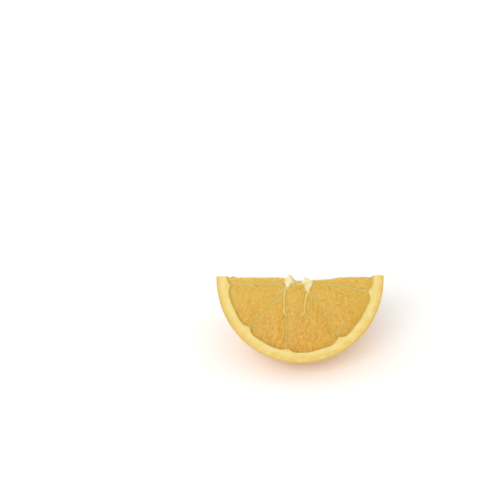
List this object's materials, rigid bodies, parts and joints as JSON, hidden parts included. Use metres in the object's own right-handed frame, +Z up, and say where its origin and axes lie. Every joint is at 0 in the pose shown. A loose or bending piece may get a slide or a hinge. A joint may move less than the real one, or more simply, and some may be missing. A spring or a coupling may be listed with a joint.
{
  "type": "orange wedge",
  "caption": "Unpeeled wedge of an orange that rests on its round skin, with peel, pith, membranes and juicy segments showing on its flat cut faces.",
  "frame": {"origin": "centre of the small flat spot under the skin on which the wedge rests", "axes": "+X along the straight edge that the two cut faces share, -Y towards the side that the crosswise cut faces, +Z up"},
  "size_m": [0.0762, 0.054, 0.038],
  "materials": {
    "peel": "waxy orange skin with fine oil pores, satin",
    "pith": "spongy pale yellow pith, matte",
    "pulp": "wet golden orange juice sacs, translucent",
    "membrane": "thin pale segment wall, moist and translucent"
  },
  "bodies": {
    "root": {"orange_wedge": "peel"}
  },
  "joints": []
}
